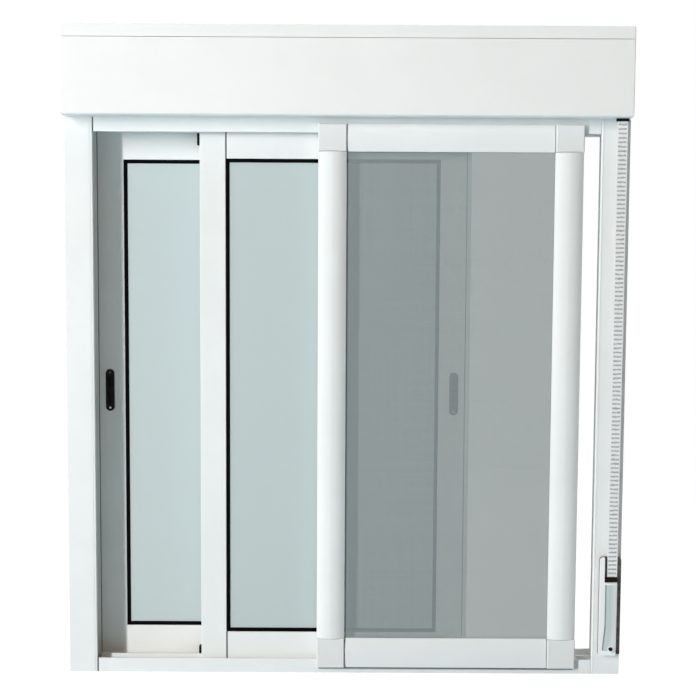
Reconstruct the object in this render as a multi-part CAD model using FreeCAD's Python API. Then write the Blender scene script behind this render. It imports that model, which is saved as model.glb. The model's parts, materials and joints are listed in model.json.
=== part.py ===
import FreeCAD, Part
import math
import os

# Horizontal sliding window: an aluminium frame with two glazed sashes and an insect screen that
# slide along X, under a roller-shutter box whose strap runs down to a winder on the right jamb.
# Millimetres. X runs to the right, Y into the wall, Z up. The room is on the -Y side.
# The origin is the middle of the sill's underside.

V = FreeCAD.Vector

# Points closer than this are the same point
TOUCH = 1e-6

# Fixed frame
FRAME_WIDTH = 1000.0
FRAME_HEIGHT = 1000.0
FRAME_DEPTH = 84.0
PROFILE_WALL = 2.0
JAMB_BODY = 35.0
JAMB_FACE = 51.0
FLANGE = 3.0
FLANGE_ROUND = 2.5
FLANGE_GROOVE_INSET = 4.0
FLANGE_GROOVE_WIDTH = 1.2
FLANGE_GROOVE_DEPTH = 0.8
JAMB_FIN = 6.5
TRACK_BASE = 10.0
TRACK_FIN = 3.0
TRACK_JOINT = 1.5
SILL_LIP_TOP = 25.5
SILL_REAR_TOP = 20.0
HEAD_LIP_DROP = 25.5
HEAD_FIN_SHORT = 1.0
HEAD_REAR_DROP = 22.0
LIP_WALL = 2.0
EDGE_ROUND = 1.0
DRAIN_LENGTH = 30.0
DRAIN_HEIGHT = 5.0
DRAIN_SPACING = 300.0

# Fixing holes through both webs of each jamb
FIXING_RADIUS = 4.5
FIXING_SPACING = 600.0
FIXING_Y = 3.5

# Sashes
SASH_OVERLAP = 49.0
SASH_DEPTH = 24.0
SASH_WALL = 2.5
FRONT_SASH_Y = -15.0
REAR_SASH_Y = 22.0
SASH_SIDE_GAP = 5.5
SASH_LIFT = 5.0
SASH_TOP_GAP = 8.0
FRONT_SASH_OPENING = 237.5
LOCK_STILE = 55.0
MEETING_STILE = 46.0
BOTTOM_RAIL = 55.5
TOP_RAIL = 53.0
STILE_GROOVE = 10.0
STILE_GROOVE_DEPTH = 14.0
STILE_RECESS = 1.2
STILE_RECESS_INSET = 7.0
FIN_CLEARANCE = 5.0
LOCK_JOINT = 0.3
MEETING_JOINT = 2.0
RAIL_TONGUE = 11.0
RAIL_WEB = 2.0
RAIL_CORE = 8.0
GLAZING_POCKET = 14.0
GLASS_HOLD = 10.0
PANE = 4.0
PANE_GAP = 6.0
SPACER_INSET = 4.0
SPACER_WIDTH = 8.0
GASKET_LIP = 6.5
GASKET_BEVEL = 1.6

# Sash hardware
LATCH_HEIGHT = 510.0
LATCH_LENGTH = 77.0
LATCH_WIDTH = 16.0
LATCH_PROUD = 1.0
LATCH_BODY_LENGTH = 68.0
LATCH_BODY_WIDTH = 10.0
LATCH_BODY_DEPTH = 9.0
LATCH_FIT = 0.2
LATCH_CUP_LENGTH = 50.0
LATCH_CUP_WIDTH = 7.0
LATCH_CUP_DEPTH = 5.0
LATCH_THUMB_LENGTH = 12.0
INTERLOCK_GAP = 5.0
INTERLOCK_THICK = 2.0
INTERLOCK_REACH = 7.0
INTERLOCK_FOOT = 12.0
INTERLOCK_END_GAP = 40.0
ROLLER_TREAD_RADIUS = 10.0
ROLLER_FLANGE_RADIUS = 12.0
ROLLER_WIDTH = 8.0
ROLLER_TREAD_WIDTH = 5.0
ROLLER_AXLE_RADIUS = 2.5
ROLLER_FROM_STILE = 60.0
RUNNING_CLEARANCE = 0.3

# Insect screen
SCREEN_OVERLAP = 19.0
SCREEN_SIDE_GAP = 31.5
SCREEN_FRONT_PROUD = 13.0
SCREEN_DEPTH = 22.0
SCREEN_STILE = 50.0
SCREEN_BOTTOM_RAIL = 54.0
SCREEN_TOP_RAIL = 48.0
SCREEN_BOTTOM = 12.0
SCREEN_TOP_GAP = 11.0
SCREEN_STILE_CROWN = 8.0
SCREEN_RAIL_SETBACK = 6.0
SCREEN_RAIL_CROWN = 2.0
SCREEN_RAIL_GAP = 1.5
SCREEN_STILE_GAP = 0.5
SCREEN_TONGUE = 15.0
SCREEN_CORNER_SETBACK = 3.0
SCREEN_CORNER_EDGE = 1.5
SCREEN_GROOVE = 8.0
SCREEN_LIP_CLEARANCE = 10.0
SCREEN_TOP_CLEARANCE = 6.0
SCREEN_REAR_CLEARANCE = 5.5
SCREEN_WALL = 2.0
MESH_THICK = 1.0
MESH_HOLD = 4.0
MESH_POCKET = 6.0
MESH_FIT = 0.3
GLIDE_LENGTH = 30.0

# Roller shutter
GUIDE_WIDTH = 28.0
GUIDE_DEPTH = 30.0
GUIDE_WALL = 2.0
GUIDE_SLOT_DEPTH = 18.0
SLAT_THICK = 9.0
SLAT_HEIGHT = 52.0
SLAT_DROP = 22.0
SLAT_END_GAP = 4.0
SLAT_GROOVE = 2.0

# Shutter box
BOX_HEIGHT = 155.0
BOX_FRONT = 36.0
BOX_BACK = 35.0
BOX_SHEET = 2.0
BOX_END_INSET = 2.5
BOX_END = 4.0
BOX_END_ROUND = 6.0
BOX_END_CORNER = 3.0
BOX_END_EDGE = 1.5
BOX_BAND = 21.5
BOX_COVER_GAP = 0.8
BOX_COVER_ROUND = 5.0
BOX_COVER_RETURN = 14.0
BOX_REAR_FLANGE = 20.0
CURTAIN_CLEARANCE = 2.5

# Strap and winder
STRAP_WIDTH = 18.0
STRAP_THICK = 1.5
STRAP_FROM_EDGE = 17.5
STRAP_TOP_PROUD = 14.0
STRAP_BOTTOM_PROUD = 8.0
STRAP_INTO_BOX = 12.0
STRAP_CLEARANCE = 1.0
STRAP_GUIDE_BORDER = 2.0
STRAP_GUIDE_HEIGHT = 5.0
WINDER_BOTTOM = 39.0
WINDER_HEIGHT = 179.0
WINDER_PLATE_WIDTH = 39.0
WINDER_PLATE_THICK = 5.0
WINDER_ROUND = 7.0
WINDER_EDGE_GAP = 0.5
WINDER_COVER_WIDTH = 30.0
WINDER_COVER_DEPTH = 9.0
WINDER_THROAT = 36.0
WINDER_THROAT_SIDE = 5.5
WINDER_ROLLER_RADIUS = 4.5
WINDER_LID_WIDTH = 21.0
WINDER_LID_BASE = 1.5
WINDER_LID_CROWN = 3.0
WINDER_LID_FLARE = 4.0
WINDER_LID_FLARE_HEIGHT = 45.0
WINDER_LID_GAP = 1.0
WINDER_LID_MARGIN = 9.5
WINDER_BOSS_RADIUS = 6.0
WINDER_BOSS_RISE = 4.0
WINDER_BOSS_PROUD = 0.8

# Places that follow from the sizes
HALF_WIDTH = FRAME_WIDTH / 2
FRONT_Y = -FRAME_DEPTH / 2
BACK_Y = FRAME_DEPTH / 2
HEAD_LIP_BOTTOM = FRAME_HEIGHT - HEAD_LIP_DROP
HEAD_FIN_BOTTOM = HEAD_LIP_BOTTOM + HEAD_FIN_SHORT
HEAD_BASE = FRAME_HEIGHT - TRACK_BASE
CLEAR_HALF = HALF_WIDTH - JAMB_FACE
CHANNEL_HALF = HALF_WIDTH - JAMB_BODY
SASH_BOTTOM = TRACK_BASE + SASH_LIFT
SASH_TOP = HEAD_BASE - SASH_TOP_GAP
HALF_SASH = SASH_DEPTH / 2
POCKET_HALF = HALF_SASH - SASH_WALL
RECESS_Y = -HALF_SASH + STILE_RECESS
REAR_SASH_LEFT = -CHANNEL_HALF + SASH_SIDE_GAP
FRONT_SASH_RIGHT = CHANNEL_HALF - SASH_SIDE_GAP - FRONT_SASH_OPENING
SASH_WIDTH = CHANNEL_HALF - SASH_SIDE_GAP + SASH_OVERLAP / 2
MEETING_EDGE = SASH_WIDTH - MEETING_STILE
INTERLOCK_INSET = (SASH_OVERLAP - INTERLOCK_GAP) / 2
SIGHT_BOTTOM = SASH_BOTTOM + BOTTOM_RAIL
SIGHT_TOP = SASH_TOP - TOP_RAIL
SCREEN_WIDTH = CLEAR_HALF + SCREEN_OVERLAP
SCREEN_LEFT = CLEAR_HALF - SCREEN_SIDE_GAP - SCREEN_WIDTH
SCREEN_FRONT = FRONT_Y - SCREEN_FRONT_PROUD
SCREEN_BACK = SCREEN_FRONT + SCREEN_DEPTH
SCREEN_RAIL_FRONT = SCREEN_FRONT + SCREEN_RAIL_SETBACK
STILE_CROWN_RADIUS = (SCREEN_STILE ** 2 / 4 + SCREEN_STILE_CROWN ** 2) / (2 * SCREEN_STILE_CROWN)
STILE_CHAMBER_HALF = SCREEN_STILE / 2 - MESH_POCKET - SCREEN_WALL
STILE_CHAMBER_DROP = STILE_CROWN_RADIUS - math.sqrt(STILE_CROWN_RADIUS ** 2 - STILE_CHAMBER_HALF ** 2)
SCREEN_TOP = FRAME_HEIGHT - SCREEN_TOP_GAP
LIP_Y = FRONT_Y + LIP_WALL / 2
BOTTOM_GROOVE_FLOOR = SILL_LIP_TOP + SCREEN_LIP_CLEARANCE
TOP_GROOVE_FLOOR = HEAD_LIP_BOTTOM - SCREEN_TOP_CLEARANCE
GUIDE_MIDDLE = BACK_Y + GUIDE_DEPTH / 2
GUIDE_SLOT = SLAT_THICK + 2 * RUNNING_CLEARANCE
CURTAIN_SLOT = SLAT_THICK + 2 * CURTAIN_CLEARANCE
BOX_TOP = FRAME_HEIGHT + BOX_HEIGHT
BOX_FRONT_Y = FRONT_Y - BOX_FRONT
BOX_BACK_Y = BACK_Y + BOX_BACK
BOX_HALF = HALF_WIDTH - BOX_END_INSET
BOX_INNER_HALF = BOX_HALF - BOX_END
STRAP_X = HALF_WIDTH - STRAP_FROM_EDGE
WINDER_TOP = WINDER_BOTTOM + WINDER_HEIGHT
WINDER_RIGHT = HALF_WIDTH - WINDER_EDGE_GAP
WINDER_LEFT = WINDER_RIGHT - WINDER_PLATE_WIDTH
WINDER_THROAT_LEFT = STRAP_X - STRAP_WIDTH / 2 - WINDER_THROAT_SIDE
WINDER_COVER_BACK = FRONT_Y - WINDER_PLATE_THICK
WINDER_COVER_FRONT = WINDER_COVER_BACK - WINDER_COVER_DEPTH


def in_plan(a, b):
    """A point of a section that lies flat, for profiles that run upwards."""
    return V(a, b, 0)


def in_side(a, b):
    """A point of a section seen from the side, for profiles that run along X."""
    return V(0, a, b)


def in_front(a, b):
    """A point of an outline seen from the room, for plates that run along Y."""
    return V(a, 0, b)


def outline(corners, place):
    """Face inside straight edges whose corners (a, b, radius) are rounded."""
    points = [place(a, b) for a, b, radius in corners]
    edges = []
    ends = []
    for i, (a, b, radius) in enumerate(corners):
        point = points[i]
        if radius == 0:
            ends.append((point, point))
            continue
        back = (points[i - 1] - point).normalize()
        ahead = (points[(i + 1) % len(points)] - point).normalize()
        half_turn = back.getAngle(ahead) / 2
        reach = radius / math.tan(half_turn)
        inward = (back + ahead).normalize()
        middle = point + inward * (radius / math.sin(half_turn) - radius)
        start = point + back * reach
        end = point + ahead * reach
        ends.append((start, end))
        edges.append(Part.Arc(start, middle, end).toShape())
    for i in range(len(ends)):
        start = ends[i][1]
        end = ends[(i + 1) % len(ends)][0]
        if start.distanceToPoint(end) > TOUCH:
            edges.append(Part.LineSegment(start, end).toShape())
    return Part.Face(Part.Wire(Part.__sortEdges__(edges)))


def rectangle(a0, b0, a1, b1, place, radius=0):
    """Face of a rectangle between two corners."""
    return outline([(a0, b0, radius), (a1, b0, radius), (a1, b1, radius), (a0, b1, radius)], place)


def block(x0, x1, y0, y1, z0, z1):
    """Box between the given limits."""
    return Part.makeBox(x1 - x0, y1 - y0, z1 - z0, V(x0, y0, z0))


def joined(solids):
    """One solid from pieces that touch."""
    return solids[0].multiFuse(solids[1:]).removeSplitter()


def run_up(face, z0, z1):
    """Upright profile between two heights."""
    return face.extrude(V(0, 0, z1 - z0)).translate(V(0, 0, z0))


def run_along(face, x0, x1):
    """Profile that runs along X."""
    return face.extrude(V(x1 - x0, 0, 0)).translate(V(x0, 0, 0))


def run_in(face, y0, y1):
    """Plate that runs into the wall."""
    return face.extrude(V(0, y1 - y0, 0)).translate(V(0, y0, 0))


def mirrored(shape):
    """The same piece for the other hand."""
    return shape.mirror(V(0, 0, 0), V(1, 0, 0))


def moved(shape, x, y, z=0):
    """The piece carried to its place."""
    return shape.translated(V(x, y, z))


def save(node, solids):
    """Write one node from its solids."""
    shape = solids[0] if len(solids) == 1 else Part.makeCompound(solids)
    shape.exportStep("parts/" + node + ".step")


def jamb():
    """Left jamb: a hollow profile with a wide front flange and two sash fins."""
    body_edge = -CHANNEL_HALF
    flange_edge = -CLEAR_HALF
    section = outline([
        (-HALF_WIDTH, FRONT_Y, EDGE_ROUND), (flange_edge, FRONT_Y, FLANGE_ROUND),
        (flange_edge, FRONT_Y + FLANGE, 0), (body_edge, FRONT_Y + FLANGE, 0),
        (body_edge, BACK_Y, 0), (-HALF_WIDTH, BACK_Y, EDGE_ROUND)], in_plan)
    chamber = rectangle(-HALF_WIDTH + PROFILE_WALL, FRONT_Y + FLANGE,
                        body_edge - PROFILE_WALL, BACK_Y - PROFILE_WALL, in_plan)
    groove_edge = flange_edge - FLANGE_GROOVE_INSET
    groove = rectangle(groove_edge - FLANGE_GROOVE_WIDTH, FRONT_Y - FLANGE_GROOVE_DEPTH,
                       groove_edge, FRONT_Y + FLANGE_GROOVE_DEPTH, in_plan)
    solid = run_up(section.cut(chamber).cut(groove), 0, FRAME_HEIGHT)
    fins = [block(body_edge, body_edge + JAMB_FIN, y - TRACK_FIN / 2, y + TRACK_FIN / 2,
                  TRACK_BASE, HEAD_BASE) for y in (FRONT_SASH_Y, REAR_SASH_Y)]
    solid = joined([solid] + fins)
    for side in (-1, 1):
        z = FRAME_HEIGHT / 2 + side * FIXING_SPACING / 2
        hole = Part.makeCylinder(FIXING_RADIUS, JAMB_BODY, V(-HALF_WIDTH, FIXING_Y, z), V(1, 0, 0))
        solid = solid.cut(hole)
    return solid


def track_section(base, foot, front, upstands):
    """Section of a sill or head: a hollow block from base to foot, with lips and fins on the foot."""
    way = 1 if foot > base else -1
    face = rectangle(front, base, BACK_Y, foot, in_side)
    for y0, y1, tip in upstands:
        face = face.fuse(rectangle(y0, foot, y1, tip, in_side))
    face = face.removeSplitter()
    return face.cut(rectangle(front + PROFILE_WALL, base + way * PROFILE_WALL,
                              BACK_Y - PROFILE_WALL, foot - way * PROFILE_WALL, in_side))


def sash_fins(tip):
    """Limits of the two track fins under or over the sashes."""
    return [(y - TRACK_FIN / 2, y + TRACK_FIN / 2, tip) for y in (FRONT_SASH_Y, REAR_SASH_Y)]


def track(base, foot, lip_tip, rear_tip, fin_tip):
    """Track between the jamb flanges; its base and rear upstand run on behind them to the jamb bodies."""
    rear = (BACK_Y - LIP_WALL, BACK_Y, rear_tip)
    front = (FRONT_Y, FRONT_Y + LIP_WALL, lip_tip)
    section = track_section(base, foot, FRONT_Y, sash_fins(fin_tip) + [front, rear])
    tenon = track_section(base, foot, FRONT_Y + FLANGE, [rear])
    half = CLEAR_HALF - TRACK_JOINT
    return joined([
        run_along(section, -half, half), run_along(tenon, -CHANNEL_HALF, -half),
        run_along(tenon, half, CHANNEL_HALF)])


def drained(solid):
    """Sill with slots through its rear upstand that let rain water out."""
    half = DRAIN_LENGTH / 2
    for share in (-1, 0, 1):
        x = share * DRAIN_SPACING
        slot = rectangle(x - half, TRACK_BASE, x + half, TRACK_BASE + DRAIN_HEIGHT, in_front)
        solid = solid.cut(run_in(slot, BACK_Y - LIP_WALL, BACK_Y))
    return solid


def sill():
    """Sill with a front lip for the screen, two roller fins and a lower rear upstand."""
    return drained(track(0, TRACK_BASE, SILL_LIP_TOP, SILL_REAR_TOP, SILL_LIP_TOP))


def head():
    """Head with the same lips and fins pointing down."""
    return track(FRAME_HEIGHT, HEAD_BASE, HEAD_LIP_BOTTOM, FRAME_HEIGHT - HEAD_REAR_DROP, HEAD_FIN_BOTTOM)


def notched_ends(stile, x0, x1):
    """Stile whose ends are slotted so that they pass over the track fins."""
    half = STILE_GROOVE / 2
    bottom = block(x0, x1, -half, half, SASH_BOTTOM, SILL_LIP_TOP + FIN_CLEARANCE)
    top = block(x0, x1, -half, half, HEAD_FIN_BOTTOM - FIN_CLEARANCE, SASH_TOP)
    return stile.cut(bottom).cut(top)


def stadium(length, width, x, z, y0, y1):
    """Upright bar with round ends, from y0 to y1."""
    half = width / 2
    face = rectangle(x - half, z - length / 2, x + half, z + length / 2, in_front, half)
    return run_in(face, y0, y1)


def lock_stile():
    """Outer stile: a groove for the jamb's fin, a glass pocket and a recessed face with the latch slot."""
    half_groove = STILE_GROOVE / 2
    pocket_floor = LOCK_STILE - GLAZING_POCKET
    section = outline([
        (0, -HALF_SASH, EDGE_ROUND), (STILE_RECESS_INSET, -HALF_SASH, 0), (STILE_RECESS_INSET, RECESS_Y, 0),
        (LOCK_STILE, RECESS_Y, 0), (LOCK_STILE, -POCKET_HALF, 0),
        (pocket_floor, -POCKET_HALF, 0), (pocket_floor, POCKET_HALF, 0), (LOCK_STILE, POCKET_HALF, 0),
        (LOCK_STILE, HALF_SASH, EDGE_ROUND), (0, HALF_SASH, EDGE_ROUND), (0, half_groove, 0),
        (STILE_GROOVE_DEPTH, half_groove, 0), (STILE_GROOVE_DEPTH, -half_groove, 0),
        (0, -half_groove, 0)], in_plan)
    chamber = rectangle(STILE_GROOVE_DEPTH + PROFILE_WALL, RECESS_Y + PROFILE_WALL,
                        pocket_floor - PROFILE_WALL, HALF_SASH - PROFILE_WALL, in_plan)
    stile = notched_ends(run_up(section.cut(chamber), SASH_BOTTOM, SASH_TOP), 0, LOCK_STILE)
    slot = stadium(LATCH_BODY_LENGTH + 2 * LATCH_FIT, LATCH_BODY_WIDTH + 2 * LATCH_FIT,
                   LOCK_STILE / 2, LATCH_HEIGHT, RECESS_Y, 0)
    return stile.cut(slot)


def meeting_stile():
    """Inner stile: a hollow profile with the glass pocket on one side."""
    pocket_floor = MEETING_EDGE + GLAZING_POCKET
    section = outline([
        (MEETING_EDGE, -HALF_SASH, EDGE_ROUND), (SASH_WIDTH, -HALF_SASH, EDGE_ROUND),
        (SASH_WIDTH, HALF_SASH, EDGE_ROUND), (MEETING_EDGE, HALF_SASH, EDGE_ROUND),
        (MEETING_EDGE, POCKET_HALF, 0), (pocket_floor, POCKET_HALF, 0),
        (pocket_floor, -POCKET_HALF, 0), (MEETING_EDGE, -POCKET_HALF, 0)], in_plan)
    chamber = rectangle(pocket_floor + PROFILE_WALL, -HALF_SASH + PROFILE_WALL,
                        SASH_WIDTH - PROFILE_WALL, HALF_SASH - PROFILE_WALL, in_plan)
    return notched_ends(run_up(section.cut(chamber), SASH_BOTTOM, SASH_TOP), MEETING_EDGE, SASH_WIDTH)


def rail(outer, sight):
    """Rail between the stiles: the glass pocket on the sight side, the track groove on the other."""
    way = 1 if sight > outer else -1
    pocket_floor = sight - way * GLAZING_POCKET
    groove_floor = pocket_floor - way * RAIL_CORE
    section = outline([
        (-HALF_SASH, outer, EDGE_ROUND), (-HALF_SASH, sight, EDGE_ROUND), (-POCKET_HALF, sight, 0),
        (-POCKET_HALF, pocket_floor, 0), (POCKET_HALF, pocket_floor, 0), (POCKET_HALF, sight, 0),
        (HALF_SASH, sight, EDGE_ROUND), (HALF_SASH, outer, EDGE_ROUND), (POCKET_HALF, outer, 0),
        (POCKET_HALF, groove_floor, 0), (-POCKET_HALF, groove_floor, 0), (-POCKET_HALF, outer, 0)], in_side)
    chamber = rectangle(-HALF_SASH + PROFILE_WALL, pocket_floor - way * RAIL_WEB,
                        HALF_SASH - PROFILE_WALL, groove_floor + way * RAIL_WEB, in_side)
    bar = run_along(section.cut(chamber), LOCK_STILE + LOCK_JOINT, MEETING_EDGE - MEETING_JOINT)
    low = min(pocket_floor - way * RAIL_WEB, groove_floor + way * RAIL_WEB)
    high = max(pocket_floor - way * RAIL_WEB, groove_floor + way * RAIL_WEB)
    tongues = [block(x - RAIL_TONGUE, x + RAIL_TONGUE, -POCKET_HALF, POCKET_HALF, low, high)
               for x in (LOCK_STILE, MEETING_EDGE)]
    return joined([bar] + tongues)


def ring(x0, x1, z0, z1, width, y0, y1):
    """Flat rectangular ring between y0 and y1."""
    outer = block(x0, x1, y0, y1, z0, z1)
    return outer.cut(block(x0 + width, x1 - width, y0, y1, z0 + width, z1 - width))


def glass_limits():
    """Left, right, bottom and top edge of the glass in the sash's own frame."""
    return (LOCK_STILE - GLASS_HOLD, MEETING_EDGE + GLASS_HOLD,
            SIGHT_BOTTOM - GLASS_HOLD, SIGHT_TOP + GLASS_HOLD)


def glass():
    """Two panes of the sealed unit."""
    x0, x1, z0, z1 = glass_limits()
    half_gap = PANE_GAP / 2
    outside = half_gap + PANE
    return [block(x0, x1, -outside, -half_gap, z0, z1), block(x0, x1, half_gap, outside, z0, z1)]


def spacer():
    """Bar that holds the panes apart round their edge."""
    x0, x1, z0, z1 = glass_limits()
    inset = SPACER_INSET
    return ring(x0 + inset, x1 - inset, z0 + inset, z1 - inset, SPACER_WIDTH, -PANE_GAP / 2, PANE_GAP / 2)


def gasket():
    """Rubber strip between the profiles and the glass, on the room side and outside."""
    x0, x1, z0, z1 = glass_limits()
    width = GLASS_HOLD + GASKET_LIP
    face_y = PANE_GAP / 2 + PANE
    strip = ring(x0, x1, z0, z1, width, -POCKET_HALF, -face_y)
    lip_edges = [edge for edge in strip.Edges if is_lip_edge(edge, x0 + width, x1 - width)]
    inside = strip.makeChamfer(GASKET_BEVEL, lip_edges)
    outside = inside.mirror(V(0, 0, 0), V(0, 1, 0))
    return [inside, outside]


def is_lip_edge(edge, x0, x1):
    """True for the room-side edges round the sight opening of a gasket strip."""
    box = edge.BoundBox
    on_face = abs(box.YMin + POCKET_HALF) < TOUCH and abs(box.YMax + POCKET_HALF) < TOUCH
    return on_face and box.XMin > x0 - TOUCH and box.XMax < x1 + TOUCH


def latch():
    """Flush latch: a bezel with a finger cup, a body in the stile and a thumb slide in the cup."""
    x = LOCK_STILE / 2
    front = RECESS_Y
    bezel = stadium(LATCH_LENGTH, LATCH_WIDTH, x, LATCH_HEIGHT, front - LATCH_PROUD, front)
    body = stadium(LATCH_BODY_LENGTH, LATCH_BODY_WIDTH, x, LATCH_HEIGHT, front, front + LATCH_BODY_DEPTH)
    cup = stadium(LATCH_CUP_LENGTH, LATCH_CUP_WIDTH, x, LATCH_HEIGHT,
                  front - LATCH_PROUD, front + LATCH_CUP_DEPTH)
    half_thumb = LATCH_CUP_WIDTH / 2
    thumb = block(x - half_thumb, x + half_thumb, front, front + LATCH_CUP_DEPTH,
                  LATCH_HEIGHT - LATCH_THUMB_LENGTH / 2, LATCH_HEIGHT + LATCH_THUMB_LENGTH / 2)
    return joined([joined([bezel, body]).cut(cup), thumb])


def interlock(side):
    """Angle on the meeting stile whose fin hooks behind the other sash's fin; side is its Y direction."""
    x = SASH_WIDTH - INTERLOCK_INSET
    y = side * HALF_SASH
    z0 = SASH_BOTTOM + INTERLOCK_END_GAP
    z1 = SASH_TOP - INTERLOCK_END_GAP
    section = outline([
        (x, y, 0), (x, y + side * INTERLOCK_REACH, 0), (x + INTERLOCK_THICK, y + side * INTERLOCK_REACH, 0),
        (x + INTERLOCK_THICK, y + side * INTERLOCK_THICK, 0),
        (x + INTERLOCK_FOOT, y + side * INTERLOCK_THICK, 0), (x + INTERLOCK_FOOT, y, 0)], in_plan)
    return run_up(section, z0, z1)


def roller(x):
    """Flanged wheel on its axle, astride the track fin inside the bottom rail."""
    half = ROLLER_WIDTH / 2
    half_tread = ROLLER_TREAD_WIDTH / 2
    profile = [(-half, 0), (-half, ROLLER_FLANGE_RADIUS), (-half_tread, ROLLER_FLANGE_RADIUS),
               (-half_tread, ROLLER_TREAD_RADIUS), (half_tread, ROLLER_TREAD_RADIUS),
               (half_tread, ROLLER_FLANGE_RADIUS), (half, ROLLER_FLANGE_RADIUS), (half, 0)]
    face = outline([(a, b, 0) for a, b in profile], in_side)
    wheel = face.revolve(V(0, 0, 0), V(0, 1, 0), 360)
    axle = Part.makeCylinder(ROLLER_AXLE_RADIUS, 2 * POCKET_HALF, V(0, -POCKET_HALF, 0), V(0, 1, 0))
    height = SILL_LIP_TOP + RUNNING_CLEARANCE + ROLLER_TREAD_RADIUS
    return moved(joined([wheel, axle]), x, 0, height)


def sash(interlock_side):
    """All pieces of a sash in its own frame: X from the lock edge, Y from its middle plane."""
    rollers = [roller(LOCK_STILE + ROLLER_FROM_STILE), roller(MEETING_EDGE - ROLLER_FROM_STILE)]
    return {
        "lock_stile": [lock_stile()], "meeting_stile": [meeting_stile()],
        "bottom_rail": [rail(SASH_BOTTOM, SIGHT_BOTTOM)], "top_rail": [rail(SASH_TOP, SIGHT_TOP)],
        "glass": glass(), "spacer": [spacer()], "gasket": gasket(), "latch": [latch()],
        "interlock": [interlock(interlock_side)], "rollers": rollers}


def crowned(a0, a1, front, crown, back):
    """Section with a front face that bulges by the crown, as (a, depth) points on an arc and a flat back."""
    middle = (a0 + a1) / 2
    return {"low": (a0, front + crown), "top": (middle, front), "high": (a1, front + crown), "back": back}


def crowned_face(shape, place):
    """Face of a crowned section."""
    low = place(*shape["low"])
    top = place(*shape["top"])
    high = place(*shape["high"])
    low_back = place(shape["low"][0], shape["back"])
    high_back = place(shape["high"][0], shape["back"])
    edges = [Part.Arc(low, top, high).toShape(), Part.LineSegment(high, high_back).toShape(),
             Part.LineSegment(high_back, low_back).toShape(), Part.LineSegment(low_back, low).toShape()]
    return Part.Face(Part.Wire(edges))


def in_side_turned(a, b):
    """A point of a rail's section given as height and depth."""
    return V(0, b, a)


def screen_stile_bar(x0):
    """Full-height crowned bar of a screen stile, before the corners are parted off."""
    shape = crowned(x0, x0 + SCREEN_STILE, SCREEN_FRONT, SCREEN_STILE_CROWN, SCREEN_BACK)
    return run_up(crowned_face(shape, in_plan), SCREEN_BOTTOM, SCREEN_TOP)


def screen_stile_chamber(x0):
    """Hollow inside a screen stile, behind a front wall of even thickness."""
    inset = MESH_POCKET + SCREEN_WALL
    shape = crowned(x0 + inset, x0 + SCREEN_STILE - inset, SCREEN_FRONT + SCREEN_WALL, STILE_CHAMBER_DROP,
                    SCREEN_BACK - SCREEN_WALL)
    return run_up(crowned_face(shape, in_plan), SCREEN_BOTTOM, SCREEN_TOP)


def lip_rooms():
    """Room for the lips and bases of the sill and head, over the whole length of the screen."""
    half = SCREEN_GROOVE / 2
    right = SCREEN_LEFT + SCREEN_WIDTH
    return [
        block(SCREEN_LEFT, right, LIP_Y - half, LIP_Y + half, SCREEN_BOTTOM, BOTTOM_GROOVE_FLOOR),
        block(SCREEN_LEFT, right, LIP_Y, SCREEN_BACK, SCREEN_BOTTOM, TRACK_BASE + SCREEN_REAR_CLEARANCE),
        block(SCREEN_LEFT, right, LIP_Y - half, LIP_Y + half, TOP_GROOVE_FLOOR, SCREEN_TOP),
        block(SCREEN_LEFT, right, LIP_Y, SCREEN_BACK, HEAD_BASE - SCREEN_REAR_CLEARANCE, SCREEN_TOP)]


def screen_rail_bar(z0, z1):
    """Slightly crowned bar of a screen rail over the whole width."""
    shape = crowned(z0, z1, SCREEN_RAIL_FRONT, SCREEN_RAIL_CROWN, SCREEN_BACK)
    return run_along(crowned_face(shape, in_side_turned), SCREEN_LEFT, SCREEN_LEFT + SCREEN_WIDTH)


def screen_rail_chamber(groove_floor, sight):
    """Section of the hollow in a screen rail, between the lip groove and the mesh pocket."""
    way = 1 if sight > groove_floor else -1
    low = groove_floor + way * SCREEN_WALL
    high = sight - way * (MESH_POCKET + SCREEN_WALL)
    return rectangle(SCREEN_RAIL_FRONT + SCREEN_RAIL_CROWN + SCREEN_WALL, low,
                     SCREEN_BACK - SCREEN_WALL, high, in_side)


def screen_corner(x0, inner_x, z_edge, sight, rail_chamber):
    """Flat corner piece with a bevelled front rim, plugged into the hollow of the stile and of the rail."""
    up = 1 if z_edge < sight else -1
    right = 1 if x0 < inner_x else -1
    front = SCREEN_FRONT + SCREEN_CORNER_SETBACK
    cap = block(min(x0, inner_x), max(x0, inner_x), front, SCREEN_BACK,
                min(z_edge, sight), max(z_edge, sight))
    rim = [edge for edge in cap.Edges if edge.BoundBox.YMax < front + TOUCH]
    cap = cap.makeChamfer(SCREEN_CORNER_EDGE, rim)
    for room in lip_rooms():
        cap = cap.cut(room)
    reach_x = inner_x + right * (SCREEN_RAIL_GAP + SCREEN_TONGUE)
    into_rail = run_along(rail_chamber, min(inner_x - right * SCREEN_WALL, reach_x),
                          max(inner_x - right * SCREEN_WALL, reach_x))
    inset = MESH_POCKET + SCREEN_WALL
    reach_z = sight + up * (SCREEN_STILE_GAP + SCREEN_TONGUE)
    into_stile = block(min(x0, inner_x) + inset, max(x0, inner_x) - inset,
                       SCREEN_FRONT + SCREEN_WALL + STILE_CHAMBER_DROP, SCREEN_BACK - SCREEN_WALL,
                       min(sight - up * SCREEN_WALL, reach_z), max(sight - up * SCREEN_WALL, reach_z))
    return joined([cap, into_rail, into_stile])


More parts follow.
